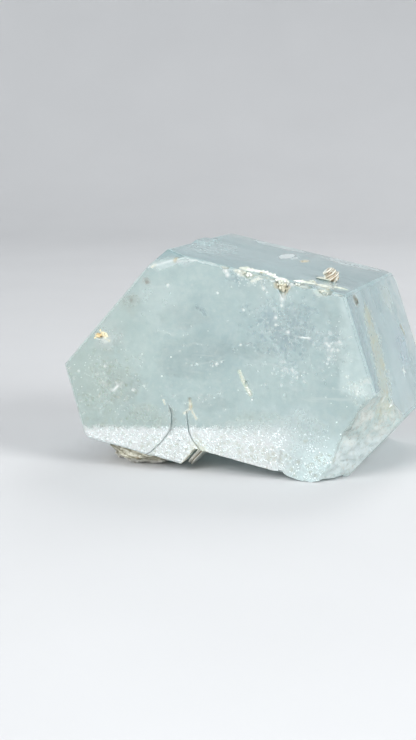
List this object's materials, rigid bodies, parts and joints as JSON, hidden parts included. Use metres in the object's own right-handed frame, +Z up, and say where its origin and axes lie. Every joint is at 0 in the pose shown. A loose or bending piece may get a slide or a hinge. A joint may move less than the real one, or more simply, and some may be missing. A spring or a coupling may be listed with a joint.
{
  "type": "aquamarine crystal",
  "caption": "Stout hexagonal prism of pale blue beryl standing on its broken base, with brown mica clinging underneath.",
  "frame": {"origin": "on the ground under the middle of the crystal's box", "axes": "+Z up as the crystal stands; the prism's axis lies along Y, and its flat front end faces -Y; +X is its longest extent"},
  "size_m": [0.0652, 0.045, 0.0437],
  "materials": {
    "aquamarine": "milky, see-through in places, with worn faces",
    "brown_mica": "flaky, slightly pearly",
    "pale_mica": "pearly plate edges"
  },
  "bodies": {
    "root": {"aquamarine_crystal": "aquamarine", "mica_crust": "brown_mica", "mica_flake": "brown_mica", "mica_book": "pale_mica"}
  },
  "joints": []
}
